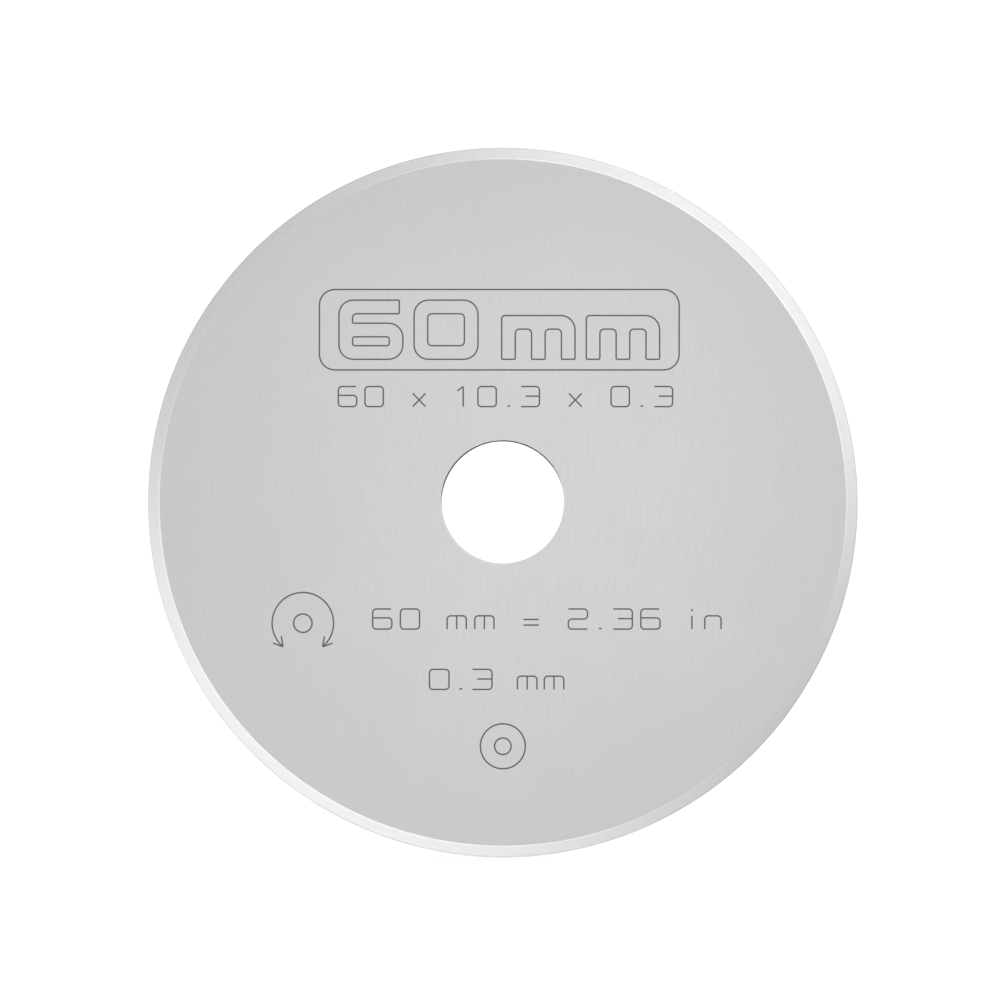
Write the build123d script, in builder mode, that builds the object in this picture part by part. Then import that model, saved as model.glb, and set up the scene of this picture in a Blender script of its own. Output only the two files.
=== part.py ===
"""Round blade of a hand-held rotary cutter, in millimetres.

One flat disc of hardened steel strip with a round bore through its middle. Each side of its rim
is ground to a shallow cone, and a narrower, steeper cone is honed on each side of the cutting
edge, which lies in the blade's middle plane. The origin is the centre of the bore at mid-thickness.
The bore's axis is Y, and the face that carries the markings looks along -Y.
"""

from build123d import *
import os

# Blank
blade_diameter = 60.0
blade_thickness = 0.30

# Bore that turns on the cutter's spindle
bore_diameter = 10.3
bore_chamfer_width = 0.12  # along the radius, at each mouth of the bore
bore_chamfer_depth = 0.08  # along the bore's axis

# Cutting edge: a wide ground bevel, then a narrow honed one
ground_bevel_width = 0.88  # measured along the radius
honed_bevel_width = 0.12  # measured along the radius
honed_root_thickness = 0.07  # the steel left where the hone starts

# Radii and heights that follow
edge_radius = blade_diameter / 2
hone_radius = edge_radius - honed_bevel_width
face_radius = hone_radius - ground_bevel_width
bore_radius = bore_diameter / 2
half_thickness = blade_thickness / 2
half_bore_wall = half_thickness - bore_chamfer_depth
half_honed_root = honed_root_thickness / 2

with BuildPart() as blade:
    # Half of the section, X along the radius and Y along the bore's axis
    with BuildSketch(Plane.XY):
        with BuildLine():
            Polyline(
                (bore_radius, half_bore_wall),
                (bore_radius + bore_chamfer_width, half_thickness),
                (face_radius, half_thickness),
                (hone_radius, half_honed_root),
                (edge_radius, 0),
            )
            mirror(about=Plane.XZ)
            Line((bore_radius, -half_bore_wall), (bore_radius, half_bore_wall))
        make_face()
    revolve(axis=Axis.Y)

blade.part.label = "blade"

os.makedirs("parts", exist_ok=True)
export_step(blade.part, "parts/blade.step")
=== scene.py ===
"""Looks of the round blade of a hand-held rotary cutter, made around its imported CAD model.

The blade is one disc of rolled steel. Its rim is ground on both sides and honed to an edge, its
bore is punched, and one face carries fine dark lines: a size in a frame, three rows of sizes, a
sign that the blade turns both ways, and a ring mark. Everything is first made in a drawing plane,
with X to the right, Y up the markings and Z out of the marked face, and is then stood up, so that
the marked face looks along -Y and the markings' up is +Z.
"""

import math

import bpy
from mathutils import Matrix, Vector


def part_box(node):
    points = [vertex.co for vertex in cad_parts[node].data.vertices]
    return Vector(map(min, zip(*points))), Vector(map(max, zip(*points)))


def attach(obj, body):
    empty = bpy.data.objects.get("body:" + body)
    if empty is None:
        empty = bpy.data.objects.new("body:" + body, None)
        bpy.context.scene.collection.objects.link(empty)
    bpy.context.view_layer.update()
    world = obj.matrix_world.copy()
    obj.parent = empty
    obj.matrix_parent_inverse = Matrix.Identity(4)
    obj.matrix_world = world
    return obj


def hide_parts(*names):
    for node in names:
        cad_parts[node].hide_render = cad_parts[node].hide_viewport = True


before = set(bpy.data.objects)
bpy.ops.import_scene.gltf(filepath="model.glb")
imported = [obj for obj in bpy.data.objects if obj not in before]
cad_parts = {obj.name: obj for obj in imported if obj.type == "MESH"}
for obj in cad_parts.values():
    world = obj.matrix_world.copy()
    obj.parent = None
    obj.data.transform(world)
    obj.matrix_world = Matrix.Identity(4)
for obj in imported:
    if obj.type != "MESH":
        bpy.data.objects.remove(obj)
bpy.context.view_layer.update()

MM = 0.001


def section_rings():
    """Radius and height, in metres, of each ring of corners in the CAD blade, from the bore out."""
    rings = set()
    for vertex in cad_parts["blade"].data.vertices:
        radius, height = math.hypot(vertex.co.x, vertex.co.z), abs(vertex.co.y)
        rings.add((round(radius / MM, 3) * MM, round(height / MM, 3) * MM))
    return sorted(rings)


# Blade sizes, read from the CAD model
blade_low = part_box("blade")[0]
bore_ring, mouth_ring, bevel_ring, hone_ring, edge_ring = section_rings()
bore_radius, half_bore_wall = bore_ring
mouth_radius, half_thickness = mouth_ring
bevel_radius = bevel_ring[0]
hone_radius, half_honed_root = hone_ring
edge_radius = edge_ring[0]

# Finer shape of the blade than the CAD model holds
bore_edge_rounding = 0.02 * MM
burnished_width = 0.10 * MM  # the narrow ring where the grinding wheel leaves the face
burnished_slope = 11.0  # degrees, a little steeper than the bevel
bevel_start_rounding = 0.10 * MM
hone_start_rounding = 0.10 * MM
rounding_steps = 4  # points in each rounded corner of the section
turns_round_rim = 480
sharp_turn = 4.0  # degrees between two faces, from which their edge is shaded as a sharp one

# Engraved lines
line_width = 0.125 * MM  # at the face
line_floor_width = 0.070 * MM
line_depth = 0.020 * MM
line_rounding_steps = 6  # points in each rounded corner of a line
oxide_gap = 0.002 * MM  # between the dark oxide in a groove and the groove's own walls and mouth
shortest_edge = 0.0001 * MM  # corners closer together than this are joined after a cut

# The marks, in mm
corner_rounding = 0.3  # where nothing else is said
end_gap = 1e-6  # a stroke whose ends are closer than this is closed
frame_centre = (-0.3, 14.6)
frame_size = (30.4, 6.8)
frame_rounding = 1.3
block_height = 5.0  # the tall outlined numerals in the frame
block_width = 5.4
block_line = 1.15  # thickness of an outlined numeral's strokes
block_gap = 0.95
block_word_gap = 2.0
block_outer_rounding = 1.2
block_inner_rounding = 0.35
block_end_rounding = 0.1  # at the end of an outlined stroke
six_waist = 0.61  # height of the 6's loop, as a share of the 6's height
six_top_inset = 0.3  # how far the 6's top stroke stops short of its right side
six_loop_rounding = 0.2
letter_height = 3.7  # the outlined m
letter_width = 6.2
letter_shoulder_rounding = 0.3

# Rows of single-stroke numbers: text, left end, baseline, height, letter width, gap
number_rows = [
    ("60 x 10.3 x 0.3", -13.9, 8.1, 1.7, 1.55, 0.70),
    ("60 mm = 2.36 in", -11.0, -10.7, 1.7, 1.62, 0.72),
    ("0.3 mm", -6.2, -15.8, 1.7, 1.65, 0.62),
]
turn_sign_centre = (-16.9, -10.2)
turn_sign_radius = 2.6
turn_sign_bore = 0.78  # radius of the small ring in its middle
turn_sign_ends = (-50, 230)  # degrees, where its arc starts and ends
arrow_lean = 10  # degrees, how far an arrow head leans in from the arc's tangent
ring_mark_centre = (0.0, -20.6)
ring_mark_radii = (1.9, 0.7)

# Studio
view_width = 84.53 * MM  # width seen at the blade
view_centre = (-0.24 * MM, 0.21 * MM)
lens_mm = 200.0
sensor_mm = 36.0
sky_strength = 1.12
sky_below = 0.1  # strength in the dark part, which only reflections reach
sky_dark_way = (0.17, 0.0, -0.98)  # to the middle of the dark part
sky_dark_cosines = (0.1, 0.45)  # of the angle from that way: darker from the first to the second
sky_front_fade = (-0.85, -0.5)  # a direction's Y: white up to the first, which is behind the camera
sky_back_fade = (0.0, 0.5)  # a direction's Y: from the second on, only sky_back_share as dark
sky_back_share = 0.4
floor_reach = 4.0  # metres each way
floor_white = 0.97
floor_roughness = 0.9
nearest_seen = 0.01  # metres from the camera
light_distance = 0.8  # metres from the blade's middle
# Each light's bearing, counter-clockwise from the right as the camera sees it, how far it is off
# the camera's axis, both in degrees, its size along and across that bearing's circle in metres,
# and its power in watts
studio_lights = [
    ("key_light", 46, 29, (0.80, 0.22), 2.75),
    ("fill_light", 235, 29, (1.12, 0.22), 3.9),
    ("front_light", 25, 1, (0.12, 0.12), 0.0135),
    ("back_key_light", 46, 151, (0.80, 0.22), 2.75),
    ("back_fill_light", 235, 151, (1.12, 0.22), 3.9),
]


# ---------------------------------------------------------------- node trees

def add(tree, kind, inputs=None, **settings):
    """Adds a node, sets its options, and gives each input that is named a value or a link."""
    node = tree.nodes.new(kind)
    for name, value in settings.items():
        setattr(node, name, value)
    for name, value in (inputs or {}).items():
        socket = node.inputs[name]
        if isinstance(value, bpy.types.NodeSocket):
            tree.links.new(value, socket)
        else:
            socket.default_value = value
    return node


def joined_corners(tree, mesh, shortest):
    """Joins corners that a cut has left closer than shortest, and drops edges without a face."""
    joined = add(tree, "GeometryNodeMergeByDistance", {"Geometry": mesh, "Distance": shortest})
    faces = add(tree, "GeometryNodeInputMeshEdgeNeighbors")
    bare = add(
        tree,
        "FunctionNodeCompare",
        {"A": faces.outputs["Face Count"], "B": 0},
        data_type="INT",
        operation="EQUAL",
    )
    cleared = add(
        tree,
        "GeometryNodeDeleteGeometry",
        {"Geometry": joined.outputs[0], "Selection": bare.outputs[0]},
        domain="EDGE",
    )
    return cleared.outputs[0]


def shape_tree(name, sizes, materials=(), objects=(), counts=()):
    """A geometry tree with a named input for each size, and its Group Input node."""
    tree = bpy.data.node_groups.new(name, "GeometryNodeTree")
    tree.interface.new_socket("Geometry", in_out="INPUT", socket_type="NodeSocketGeometry")
    kinds = (
        (sizes, "NodeSocketFloat"),
        (counts, "NodeSocketInt"),
        (objects, "NodeSocketObject"),
        (materials, "NodeSocketMaterial"),
    )
    for names, kind in kinds:
        for label in names:
            tree.interface.new_socket(label, in_out="INPUT", socket_type=kind)
    tree.interface.new_socket("Geometry", in_out="OUTPUT", socket_type="NodeSocketGeometry")
    return tree, add(tree, "NodeGroupInput").outputs


def end_tree(tree, geometry):
    add(tree, "NodeGroupOutput", {"Geometry": geometry})


def math_node(tree, operation, a, b):
    return add(tree, "ShaderNodeMath", {0: a, 1: b}, operation=operation).outputs[0]


def point(tree, x=0.0, y=0.0, z=0.0):
    return add(tree, "ShaderNodeCombineXYZ", {"X": x, "Y": y, "Z": z}).outputs[0]


def scaled(tree, vector, factors):
    product = add(tree, "ShaderNodeVectorMath", {0: vector, 1: factors}, operation="MULTIPLY")
    return product.outputs[0]


def by_index(tree, kind, values):
    """A field that takes the first value at point 0, the second at point 1, and so on."""
    switch = add(tree, "GeometryNodeIndexSwitch", data_type=kind)
    while len(switch.index_switch_items) < len(values):
        switch.index_switch_items.new()
    index = add(tree, "GeometryNodeInputIndex").outputs[0]
    tree.links.new(index, switch.inputs["Index"])
    for k, value in enumerate(values):
        if isinstance(value, bpy.types.NodeSocket):
            tree.links.new(value, switch.inputs[str(k)])
        else:
            switch.inputs[str(k)].default_value = value
    return switch.outputs[0]


def shaped(name, data, tree, values):
    """Runs a geometry tree over data and returns the result as a plain mesh object."""
    base = bpy.data.objects.new(name + "_base", data)
    bpy.context.scene.collection.objects.link(base)
    modifier = base.modifiers.new("Shape", "NODES")
    modifier.node_group = tree
    for item in tree.interface.items_tree:
        if item.in_out == "INPUT" and item.name in values:
            modifier[item.identifier] = values[item.name]
    evaluated = base.evaluated_get(bpy.context.evaluated_depsgraph_get())
    mesh = bpy.data.meshes.new_from_object(evaluated)
    base.modifiers.clear()
    bpy.data.objects.remove(base)
    mesh.name = name
    result = bpy.data.objects.new(name, mesh)
    bpy.context.scene.collection.objects.link(result)
    return result


# ---------------------------------------------------------------- finishes

def finish(name, metallic=1.0):
    """A new finish, a metal's unless told: its tree, its shader and the piece's own coordinates."""
    material = bpy.data.materials.new(name)
    material.use_nodes = True
    tree = material.node_tree
    tree.nodes.clear()
    shader = add(tree, "ShaderNodeBsdfPrincipled", {"Metallic": metallic})
    add(tree, "ShaderNodeOutputMaterial", {"Surface": shader.outputs[0]})
    place = add(tree, "ShaderNodeTexCoord").outputs["Object"]
    return material, tree, shader, place


def grain(tree, place, width, height, depth, detail=2.0):
    """Streaks of about the given size, in metres along X, Z and Y, as a value round 0.5."""
    scale = (1 / width, 1 / depth, 1 / height)
    mapped = add(tree, "ShaderNodeMapping", {"Vector": place, "Scale": scale}).outputs[0]
    noise = add(tree, "ShaderNodeTexNoise", {"Vector": mapped, "Scale": 1.0, "Detail": detail})
    return noise.outputs["Fac"]


def spread(tree, value, low, high, from_low=0.3, from_high=0.7):
    """Stretches part of a value's range, the middle of a noise unless told, from low to high."""
    node = add(
        tree,
        "ShaderNodeMapRange",
        {"Value": value, "From Min": from_low, "From Max": from_high,
         "To Min": low, "To Max": high},
        clamp=True,
    )
    return node.outputs["Result"]


def grey_between(tree, factor, dark, light):
    """A colour between two greys, or two colours, by a factor from 0 to 1."""
    colours = [c if isinstance(c, tuple) else (c, c, c) for c in (dark, light)]
    node = add(
        tree,
        "ShaderNodeMix",
        {0: factor, 6: (*colours[0], 1.0), 7: (*colours[1], 1.0)},
        data_type="RGBA",
    )
    return node.outputs[2]


def vary(tree, shader, marks, greys, roughness):
    """Varies a finish's grey and roughness with its marks, from the first value to the second."""
    shade = grey_between(tree, spread(tree, marks, 0.0, 1.0), *greys)
    tree.links.new(shade, shader.inputs["Base Color"])
    tree.links.new(spread(tree, marks, *roughness), shader.inputs["Roughness"])


def raise_surface(tree, shader, height, amount):
    """Raises the surface by amount, in metres, where height is 1."""
    bump = add(tree, "ShaderNodeBump", {"Height": height, "Distance": amount, "Strength": 1.0})
    tree.links.new(bump.outputs[0], shader.inputs["Normal"])


def rolled_steel():
    """Satin strip steel: short upright streaks from the rolls, and a faint cloudiness."""
    material, tree, shader, place = finish("rolled steel")
    streaks = grain(tree, place, width=0.20 * MM, height=2.0 * MM, depth=2.0 * MM)
    cloud = grain(tree, place, width=9 * MM, height=14 * MM, depth=9 * MM)
    streak_share = 0.6
    tone = math_node(tree, "ADD", math_node(tree, "MULTIPLY", streaks, streak_share),
                     math_node(tree, "MULTIPLY", cloud, 1 - streak_share))
    vary(tree, shader, tone, greys=(0.471, 0.493), roughness=(0.20, 0.17))
    raise_surface(tree, shader, streaks, amount=0.0004 * MM)
    return material


def ring_grain(tree, place, width, turns, detail=2.0):
    """Streaks that run round the bore's axis: width across them, turns of noise per radian."""
    parts = add(tree, "ShaderNodeSeparateXYZ", {0: place}).outputs
    flat = point(tree, parts["X"], 0.0, parts["Z"])
    radius = add(tree, "ShaderNodeVectorMath", {0: flat}, operation="LENGTH").outputs["Value"]
    around = add(tree, "ShaderNodeVectorMath", {0: flat}, operation="NORMALIZE").outputs[0]
    wide = add(tree, "ShaderNodeVectorMath", {0: around, "Scale": turns}, operation="SCALE")
    across = point(tree, 0.0, math_node(tree, "MULTIPLY", radius, 1 / width), 0.0)
    both = add(tree, "ShaderNodeVectorMath", {0: wide.outputs[0], 1: across}, operation="ADD")
    noise = add(tree, "ShaderNodeTexNoise",
                {"Vector": both.outputs[0], "Scale": 1.0, "Detail": detail})
    return noise.outputs["Fac"]


def brushed_round(tree, shader):
    """Spreads highlights across marks that run round the bore's axis."""
    tangent = add(tree, "ShaderNodeTangent", direction_type="RADIAL", axis="Y")
    tree.links.new(tangent.outputs[0], shader.inputs["Tangent"])
    shader.inputs["Anisotropic"].default_value = 0.3
    shader.inputs["Anisotropic Rotation"].default_value = 0.25


def ground_steel():
    """The ground bevel: fine wheel marks that run round the rim."""
    material, tree, shader, place = finish("ground steel")
    marks = ring_grain(tree, place, width=0.03 * MM, turns=9.0, detail=3.0)
    vary(tree, shader, marks, greys=((0.365, 0.365, 0.362), (0.395, 0.395, 0.391)),
         roughness=(0.46, 0.42))
    raise_surface(tree, shader, marks, amount=0.00025 * MM)
    brushed_round(tree, shader)
    return material


def burnished_steel():
    """The ring at the start of the bevel, where the wheel rubs more than it cuts, in a grey lighter
    than the bevel's: a painted highlight.
    """
    material, tree, shader, place = finish("burnished steel with painted highlight")
    marks = ring_grain(tree, place, width=0.02 * MM, turns=6.0)
    # These greys, lighter than the ground bevel's, are a painted highlight on this ring.
    vary(tree, shader, marks, greys=(0.40, 0.43), roughness=(0.47, 0.42))
    brushed_round(tree, shader)
    return material


def honed_steel():
    """The honed edge: finer marks than the bevel's, in a duller finish."""
    material, tree, shader, place = finish("honed steel")
    marks = ring_grain(tree, place, width=0.012 * MM, turns=20.0)
    vary(tree, shader, marks, greys=(0.36, 0.40), roughness=(0.53, 0.47))
    brushed_round(tree, shader)
    return material


def punched_steel():
    """The bore's wall and chamfers: bright steel with streaks along the punch's travel."""
    material, tree, shader, place = finish("punched steel")
    streaks = grain(tree, place, width=0.05 * MM, height=0.05 * MM, depth=1.2 * MM)
    vary(tree, shader, streaks, greys=(0.52, 0.62), roughness=(0.22, 0.17))
    return material


def etched_oxide():
    """The dark oxide that fills the engraved lines."""
    material, tree, shader, place = finish("etched oxide", metallic=0.0)
    specks = grain(tree, place, width=0.06 * MM, height=0.06 * MM, depth=0.06 * MM, detail=3.0)
    vary(tree, shader, specks, greys=(0.025, 0.05), roughness=(0.55, 0.7))
    return material


# ---------------------------------------------------------------- the marks

def at_angle(centre, radius, angle):
    """The place at a radius from a centre, in the direction of an angle in degrees."""
    turn = math.radians(angle)
    return centre[0] + radius * math.cos(turn), centre[1] + radius * math.sin(turn)


def arc(centre, radius, start, end, step=7.5):
    """Points along an arc, from a start to an end angle in degrees."""
    count = round(abs(end - start) / step) + 1
    return [at_angle(centre, radius, start + (end - start) * k / (count - 1)) for k in range(count)]


# Each letter is its strokes, in a cell one wide and one high. A stroke that ends where it starts
# is closed. A stroke may cross another one, but not itself.
LETTERS = {
    "0": [[(0, 0), (1, 0), (1, 1), (0, 1), (0, 0)]],
    "1": [[(0.55, 1), (0.55, 0)], [(0.55, 1), (0.22, 0.78)]],
    "2": [[(0, 1), (1, 1), (1, 0.5), (0, 0.5), (0, 0), (1, 0)]],
    "3": [[(0, 1), (1, 1), (1, 0), (0, 0)], [(0.25, 0.52), (1, 0.52)]],
    "6": [[(0.95, 1), (0, 1), (0, 0), (1, 0), (1, 0.56), (0.5, 0.56)],
          [(0.55, 0.56), (0, 0.56)]],
    "x": [[(0.15, 0), (0.85, 0.66)], [(0.15, 0.66), (0.85, 0)]],
    "m": [[(0, 0), (0, 0.66), (1, 0.66), (1, 0)], [(0.5, 0.66), (0.5, 0)]],
    "n": [[(0, 0), (0, 0.66), (0.85, 0.66), (0.85, 0)]],
    "i": [[(0.5, 0), (0.5, 0.66)], [(0.5, 0.88), (0.5, 1.0)]],
    "=": [[(0.1, 0.2), (0.9, 0.2)], [(0.1, 0.48), (0.9, 0.48)]],
    ".": [[(0.42, 0.03), (0.58, 0.03)]],
    " ": [],
}
NARROW = {".": 0.45, "i": 0.45, " ": 0.55, "1": 0.8}  # shares of the width that these take up


def row_strokes(text, left, baseline, height, width, gap):
    """The strokes of a row of numbers."""
    strokes = []
    for letter in text:
        share = NARROW.get(letter, 1.0)
        middle = left + share * width / 2
        for stroke in LETTERS[letter]:
            strokes.append([(middle + (x - 0.5) * width, baseline + y * height) for x, y in stroke])
        left += share * width + gap
    return strokes


def box_stroke(left, low, right, high, rounding):
    """A closed stroke round a box, with its corner's rounding as each point's third number."""
    corners = [(left, low), (right, low), (right, high), (left, high), (left, low)]
    return [(x, y, rounding) for x, y in corners]


def block_zero(left, low):
    """The outlined 0."""
    right, high = left + block_width, low + block_height
    t = block_line
    return [
        box_stroke(left, low, right, high, block_outer_rounding),
        box_stroke(left + t, low + t, right - t, high - t, block_inner_rounding),
    ]


def block_six(left, low):
    """The outlined 6: its outside, open at the top right, and its loop."""
    right, high = left + block_width, low + block_height
    waist = low + six_waist * block_height
    top_end = right - six_top_inset
    t, end = block_line, block_end_rounding
    wide, narrow = block_outer_rounding, block_inner_rounding
    outside = [
        (right, low, wide), (right, waist, wide), (left + t, waist, end),
        (left + t, high - t, narrow), (top_end, high - t, end), (top_end, high, end),
        (left, high, wide), (left, low, wide), (right, low, wide),
    ]
    return [outside, box_stroke(left + t, low + t, right - t, waist - t, six_loop_rounding)]


def block_m(left, low):
    """The outlined m."""
    right, high = left + letter_width, low + letter_height
    middle = (left + right) / 2
    t, end = block_line, block_end_rounding
    wide, narrow = block_outer_rounding, block_inner_rounding
    return [[
        (left, low, end), (left, high, letter_shoulder_rounding), (right, high, wide),
        (right, low, end), (right - t, low, end), (right - t, high - t, narrow),
        (middle + t / 2, high - t, narrow), (middle + t / 2, low, end),
        (middle - t / 2, low, end), (middle - t / 2, high - t, narrow),
        (left + t, high - t, narrow), (left + t, low, end), (left, low, end),
    ]]


def block_strokes(text, left, low):
    """The outlined numerals and letters of the size in the frame, from their left end."""
    shapes = {
        "0": (block_zero, block_width),
        "6": (block_six, block_width),
        "m": (block_m, letter_width),
    }
    strokes = []
    for letter in text:
        if letter == " ":
            left += block_word_gap - block_gap
            continue
        shape, width = shapes[letter]
        strokes += shape(left, low)
        left += width + block_gap
    return strokes


def framed_size_strokes():
    """The blade's size in outlined figures, in the middle of a rounded frame."""
    x, y = frame_centre
    half_width, half_height = frame_size[0] / 2, frame_size[1] / 2
    width = 2 * (block_width + letter_width) + 2 * block_gap + block_word_gap
    frame_line = box_stroke(x - half_width, y - half_height, x + half_width, y + half_height,
                            frame_rounding)
    return [frame_line] + block_strokes("60 mm", x - width / 2, y - block_height / 2)


def arrow_head(tip, heading, length=0.9, half_angle=30):
    """Two short strokes that start at the tip of an arrow with that heading, in degrees."""
    return [
        [tip, at_angle(tip, length, heading + 180 + side * half_angle)]
        for side in (-1, 1)
    ]


def turn_sign_strokes():
    """A small bore with an arc round it and an arrow head at each end: it turns both ways."""
    start, end = turn_sign_ends
    path = arc(turn_sign_centre, turn_sign_radius, start, end)
    strokes = [path, arc(turn_sign_centre, turn_sign_bore, 0, 360)]
    strokes += arrow_head(path[0], start - 90 + arrow_lean)
    strokes += arrow_head(path[-1], end + 90 - arrow_lean)
    return strokes


def mark_strokes():
    """Every line of the marks, as a curve's data. A point's radius holds its corner's rounding."""
    strokes = framed_size_strokes()
    for row in number_rows:
        strokes += row_strokes(*row)
    strokes += turn_sign_strokes()
    strokes += [arc(ring_mark_centre, radius, 0, 360) for radius in ring_mark_radii]
    curve = bpy.data.curves.new("mark strokes", "CURVE")
    curve.dimensions = "3D"
    for stroke in strokes:
        closed = math.dist(stroke[0][:2], stroke[-1][:2]) < end_gap
        places = stroke[:-1] if closed else stroke
        spline = curve.splines.new("POLY")
        spline.points.add(len(places) - 1)
        spline.use_cyclic_u = closed
        for spot, place in zip(spline.points, places):
            spot.co = (place[0] * MM, place[1] * MM, 0.0, 1.0)
            spot.radius = place[2] if len(place) > 2 else corner_rounding
    return curve


def lines_tree():
    """Sweeps a shallow trough's section along every line of the marks, and joins those that cross.

    The section's top is Top above the face and its floor is Floor below it. Half Floor is half the
    floor's width, and Lean is how far a wall leans out for each unit that it rises.
    """
    tree, given = shape_tree(
        "Engraved lines",
        ["Top", "Floor", "Half Floor", "Lean", "Rounding Unit", "Face Height", "Shortest Edge"],
        counts=["Rounding Steps"],
        materials=["Material"],
    )
    asked = add(tree, "GeometryNodeInputRadius").outputs[0]
    rounded = add(
        tree,
        "GeometryNodeFilletCurve",
        {"Curve": given["Geometry"], "Count": given["Rounding Steps"],
         "Radius": math_node(tree, "MULTIPLY", asked, given["Rounding Unit"]),
         "Limit Radius": True},
        mode="POLY",
    )
    level = add(tree, "GeometryNodeSetCurveNormal", {"Curve": rounded.outputs[0]}, mode="Z_UP")
    even = add(tree, "GeometryNodeSetCurveRadius", {"Curve": level.outputs[0], "Radius": 1.0})
    # The sweep turns the section's Y downwards, so the floor is at +Floor and the top at -Top.
    rise = math_node(tree, "ADD", given["Top"], given["Floor"])
    half_top = math_node(tree, "ADD", given["Half Floor"],
                         math_node(tree, "MULTIPLY", rise, given["Lean"]))
    up = math_node(tree, "MULTIPLY", given["Top"], -1.0)
    left_top = math_node(tree, "MULTIPLY", half_top, -1.0)
    left_floor = math_node(tree, "MULTIPLY", given["Half Floor"], -1.0)
    section = add(
        tree,
        "GeometryNodeCurvePrimitiveQuadrilateral",
        {"Point 1": point(tree, left_top, up),
         "Point 2": point(tree, half_top, up),
         "Point 3": point(tree, given["Half Floor"], given["Floor"]),
         "Point 4": point(tree, left_floor, given["Floor"])},
        mode="POINTS",
    )
    swept = add(
        tree,
        "GeometryNodeCurveToMesh",
        {"Curve": even.outputs[0], "Profile Curve": section.outputs[0], "Fill Caps": True},
    )
    stroke = add(tree, "GeometryNodeInputMeshIsland").outputs["Island Index"]
    apart = add(tree, "GeometryNodeSplitToInstances",
                {"Geometry": swept.outputs[0], "Group ID": stroke}, domain="FACE")
    joined = add(
        tree,
        "GeometryNodeMeshBoolean",
        {"Mesh 2": apart.outputs[0]},
        operation="UNION",
        solver="MANIFOLD",
    )
    neat = joined_corners(tree, joined.outputs[0], given["Shortest Edge"])
    lifted = add(
        tree,
        "GeometryNodeTransform",
        {"Geometry": neat, "Translation": point(tree, 0.0, 0.0, given["Face Height"])},
    )
    real = add(tree, "GeometryNodeRealizeInstances", {"Geometry": lifted.outputs[0]})
    coated = add(tree, "GeometryNodeSetMaterial",
                 {"Geometry": real.outputs[0], "Material": given["Material"]})
    end_tree(tree, coated.outputs[0])
    return tree


def engraved_lines(name, tree, strokes, material, top, floor, half_floor, lean):
    return shaped(
        name,
        strokes,
        tree,
        {
            "Top": top,
            "Floor": floor,
            "Half Floor": half_floor,
            "Lean": lean,
            "Rounding Unit": MM,
            "Face Height": half_thickness,
            "Shortest Edge": shortest_edge,
            "Rounding Steps": line_rounding_steps,
            "Material": material,
        },
    )


# ---------------------------------------------------------------- the blade

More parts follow.
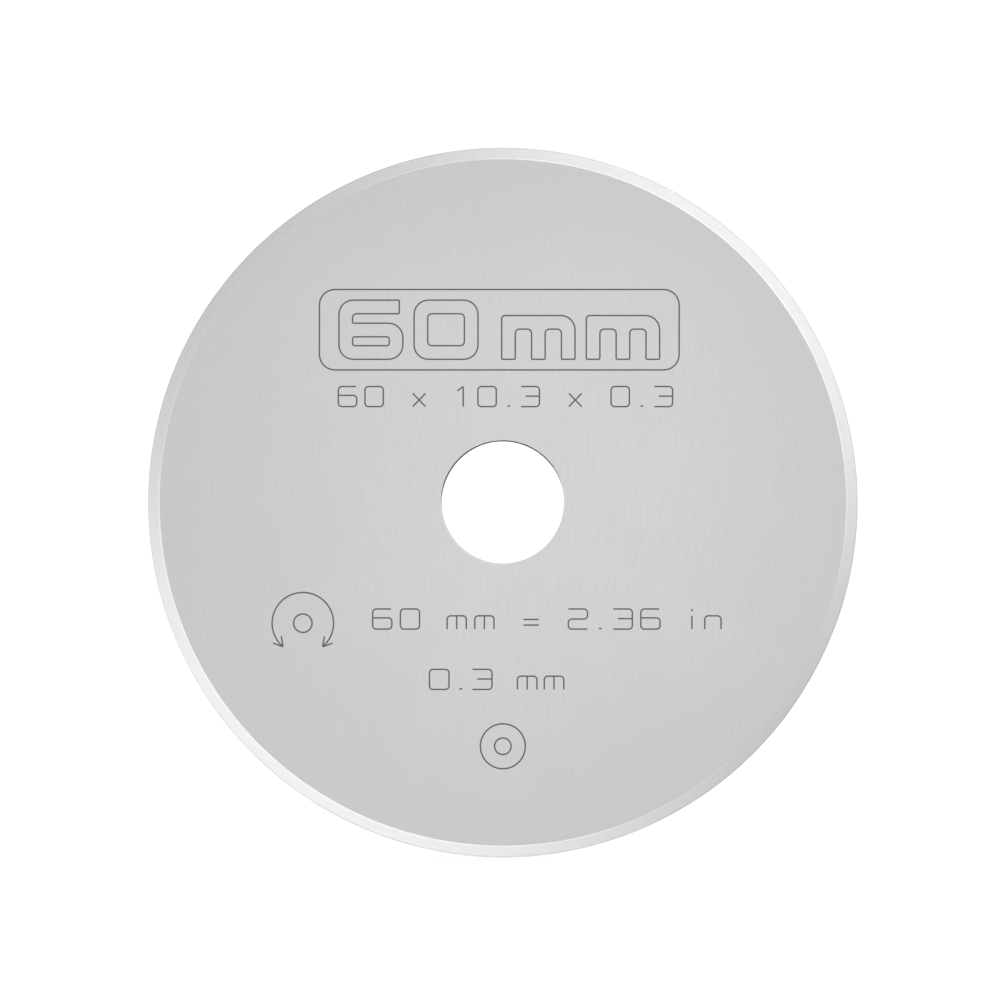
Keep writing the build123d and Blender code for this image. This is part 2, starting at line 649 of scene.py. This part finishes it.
def blade_tree():
    """Turns the blade's section round the bore's axis and cuts the grooves out of one face."""
    tree, given = shape_tree(
        "Turned blade",
        ["Bore Radius", "Mouth Radius", "Bevel Radius", "Burnished Radius", "Hone Radius",
         "Edge Radius", "Half Bore Wall", "Half Thickness", "Burnished Drop", "Half Honed Root",
         "Bore Rounding", "Bevel Rounding", "Hone Rounding", "Shortest Edge"],
        counts=["Turns", "Rounding Steps"],
        objects=["Grooves"],
        materials=["Rolled", "Burnished Painted Highlight", "Ground", "Honed", "Punched"],
    )
    upper = [
        point(tree, given["Bore Radius"], given["Half Bore Wall"]),
        point(tree, given["Mouth Radius"], given["Half Thickness"]),
        point(tree, given["Bevel Radius"], given["Half Thickness"]),
        point(tree, given["Burnished Radius"],
              math_node(tree, "SUBTRACT", given["Half Thickness"], given["Burnished Drop"])),
        point(tree, given["Hone Radius"], given["Half Honed Root"]),
    ]
    lower = [scaled(tree, corner, (1.0, -1.0, 1.0)) for corner in reversed(upper)]
    roundings = [given["Bore Rounding"], given["Bore Rounding"], given["Bevel Rounding"],
                 given["Bevel Rounding"], given["Hone Rounding"]]
    corners = upper + [point(tree, given["Edge Radius"])] + lower
    corner_roundings = roundings + [0.0] + roundings[::-1]
    line = add(tree, "GeometryNodeMeshLine", {"Count": len(corners)})
    path = add(tree, "GeometryNodeMeshToCurve", {"Mesh": line.outputs[0]})
    closed = add(tree, "GeometryNodeSetSplineCyclic", {"Geometry": path.outputs[0], "Cyclic": True})
    outline = add(
        tree,
        "GeometryNodeSetPosition",
        {"Geometry": closed.outputs[0], "Position": by_index(tree, "VECTOR", corners)},
    )
    rounded = add(
        tree,
        "GeometryNodeFilletCurve",
        {"Curve": outline.outputs[0], "Count": given["Rounding Steps"],
         "Radius": by_index(tree, "FLOAT", corner_roundings), "Limit Radius": True},
        mode="POLY",
    )
    # The sweep adds the section's X to the circle's radius, so the section starts at the bore.
    inwards = point(tree, math_node(tree, "MULTIPLY", given["Bore Radius"], -1.0))
    section = add(tree, "GeometryNodeTransform",
                  {"Geometry": rounded.outputs[0], "Translation": inwards})
    circle = add(tree, "GeometryNodeCurvePrimitiveCircle",
                 {"Resolution": given["Turns"], "Radius": given["Bore Radius"]})
    level = add(tree, "GeometryNodeSetCurveNormal", {"Curve": circle.outputs[0]}, mode="Z_UP")
    disc = add(tree, "GeometryNodeCurveToMesh",
               {"Curve": level.outputs[0], "Profile Curve": section.outputs[0]}).outputs[0]
    disc = add(tree, "GeometryNodeFlipFaces", {"Mesh": disc}).outputs[0]
    disc = add(tree, "GeometryNodeSetMaterial",
               {"Geometry": disc, "Material": given["Rolled"]}).outputs[0]

    where = add(tree, "GeometryNodeInputPosition").outputs[0]
    flat = scaled(tree, where, (1.0, 1.0, 0.0))
    radius = add(tree, "ShaderNodeVectorMath", {0: flat}, operation="LENGTH").outputs["Value"]
    zones = (
        ("GREATER_THAN", given["Bevel Radius"], "Burnished Painted Highlight"),
        ("GREATER_THAN", given["Burnished Radius"], "Ground"),
        ("GREATER_THAN", given["Hone Radius"], "Honed"),
        ("LESS_THAN", given["Mouth Radius"], "Punched"),
    )
    for side, limit, slot in zones:
        disc = add(
            tree,
            "GeometryNodeSetMaterial",
            {"Geometry": disc, "Selection": math_node(tree, side, radius, limit),
             "Material": given[slot]},
        ).outputs[0]

    grooves = add(tree, "GeometryNodeObjectInfo", {"Object": given["Grooves"]})
    cut = add(
        tree,
        "GeometryNodeMeshBoolean",
        {"Mesh 1": disc, "Mesh 2": grooves.outputs["Geometry"]},
        operation="DIFFERENCE",
        solver="MANIFOLD",
    )
    neat = joined_corners(tree, cut.outputs[0], given["Shortest Edge"])
    real = add(tree, "GeometryNodeRealizeInstances", {"Geometry": neat})
    end_tree(tree, real.outputs[0])
    return tree


def stand_up(piece):
    """Turns a piece from the drawing plane to its place: X stays, Y goes up, Z comes forward."""
    mesh = piece.data
    for vertex in mesh.vertices:
        x, y, z = vertex.co
        vertex.co = (x, -z, y)
    mesh.update()


def crisp_edges(piece, angle):
    """Shades a piece smooth, apart from edges that turn by more than the angle, in degrees."""
    for face in piece.data.polygons:
        face.use_smooth = True
    piece.data.set_sharp_from_angle(angle=math.radians(angle))


def make_blade():
    """The blade with its grooves, and the dark oxide that fills them."""
    oxide = etched_oxide()
    tree = lines_tree()
    strokes = mark_strokes()
    half_floor = line_floor_width / 2
    lean = (line_width / 2 - half_floor) / line_depth
    cutter = engraved_lines("groove_cutter", tree, strokes, oxide, 2 * line_depth, line_depth,
                            half_floor, lean)
    marks = engraved_lines("etched_marks", tree, strokes, oxide, -oxide_gap,
                           line_depth - oxide_gap, half_floor - oxide_gap, lean)
    blade = shaped(
        "blade_steel",
        bpy.data.meshes.new("blade outline"),
        blade_tree(),
        {
            "Bore Radius": bore_radius,
            "Mouth Radius": mouth_radius,
            "Bevel Radius": bevel_radius,
            "Burnished Radius": bevel_radius + burnished_width,
            "Hone Radius": hone_radius,
            "Edge Radius": edge_radius,
            "Half Bore Wall": half_bore_wall,
            "Half Thickness": half_thickness,
            "Burnished Drop": burnished_width * math.tan(math.radians(burnished_slope)),
            "Half Honed Root": half_honed_root,
            "Bore Rounding": bore_edge_rounding,
            "Bevel Rounding": bevel_start_rounding,
            "Hone Rounding": hone_start_rounding,
            "Shortest Edge": shortest_edge,
            "Turns": turns_round_rim,
            "Rounding Steps": rounding_steps,
            "Grooves": cutter,
            "Rolled": rolled_steel(),
            "Burnished Painted Highlight": burnished_steel(),
            "Ground": ground_steel(),
            "Honed": honed_steel(),
            "Punched": punched_steel(),
        },
    )
    bpy.data.objects.remove(cutter)
    for piece in (blade, marks):
        stand_up(piece)
        crisp_edges(piece, sharp_turn)
        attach(piece, "root")
    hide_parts("blade")


# ---------------------------------------------------------------- the studio

def softbox(name, bearing, off_axis, size, power):
    """A soft panel that faces the origin, its length along the circle of its bearing."""
    light = bpy.data.lights.new(name, "AREA")
    light.shape = "RECTANGLE"
    light.size, light.size_y = size
    light.energy = power
    lamp = bpy.data.objects.new(name, light)
    bpy.context.scene.collection.objects.link(lamp)
    turn, lean = math.radians(bearing), math.radians(off_axis)
    outwards = Vector((math.cos(turn), 0, math.sin(turn)))
    along = Vector((-math.sin(turn), 0, math.cos(turn)))
    away = outwards * math.sin(lean) + Vector((0, -math.cos(lean), 0))
    lamp.location = away * light_distance
    lamp.rotation_euler = Matrix((along, away.cross(along), away)).transposed().to_euler()


def white_sky():
    """White all round, apart from below, where it is dark, more so on the marked face's side."""
    sky = bpy.data.worlds.new("white sky")
    sky.use_nodes = True
    tree = sky.node_tree
    way = add(tree, "ShaderNodeTexCoord").outputs["Generated"]
    cosine = add(tree, "ShaderNodeVectorMath", {0: way, 1: sky_dark_way}, operation="DOT_PRODUCT")
    back = add(tree, "ShaderNodeSeparateXYZ", {0: way}).outputs["Y"]
    below = spread(tree, cosine.outputs["Value"], 0.0, 1.0, *sky_dark_cosines)
    off_camera = spread(tree, back, 0.0, 1.0, *sky_front_fade)
    marked_side = spread(tree, back, 1.0, sky_back_share, *sky_back_fade)
    dark = math_node(tree, "MULTIPLY", below, math_node(tree, "MULTIPLY", off_camera, marked_side))
    background = tree.nodes["Background"]
    background.inputs["Color"].default_value = (1.0, 1.0, 1.0, 1.0)
    tree.links.new(spread(tree, dark, sky_strength, sky_below, from_low=0.0, from_high=1.0),
                   background.inputs["Strength"])
    bpy.context.scene.world = sky


def white_floor():
    """A wide white floor under the blade, which throws no shade and shows in no reflection."""
    reach, level = floor_reach, blade_low.z
    mesh = bpy.data.meshes.new("studio_floor")
    corners = [(-reach, -reach), (reach, -reach), (reach, reach), (-reach, reach)]
    mesh.from_pydata([(x, y, level) for x, y in corners], [], [(0, 1, 2, 3)])
    floor = bpy.data.objects.new("studio_floor", mesh)
    bpy.context.scene.collection.objects.link(floor)
    white = bpy.data.materials.new("white floor")
    white.use_nodes = True
    paint = white.node_tree.nodes["Principled BSDF"]
    paint.inputs["Base Color"].default_value = (floor_white, floor_white, floor_white, 1.0)
    paint.inputs["Roughness"].default_value = floor_roughness
    mesh.materials.append(white)
    floor.visible_glossy = False
    floor.visible_shadow = False


def make_studio():
    """A white floor that runs out to a white sky, and soft light from both sides of the blade."""
    scene = bpy.context.scene
    scene.view_settings.view_transform = "Standard"
    white_sky()
    white_floor()
    for panel in studio_lights:
        softbox(*panel)

    lens = bpy.data.cameras.new("camera")
    lens.lens = lens_mm
    lens.sensor_width = sensor_mm
    lens.clip_start = nearest_seen
    camera = bpy.data.objects.new("camera", lens)
    scene.collection.objects.link(camera)
    distance = view_width * lens_mm / sensor_mm
    camera.location = (view_centre[0], -distance, view_centre[1])
    camera.rotation_euler = (math.radians(90), 0, 0)
    scene.camera = camera


make_blade()
make_studio()
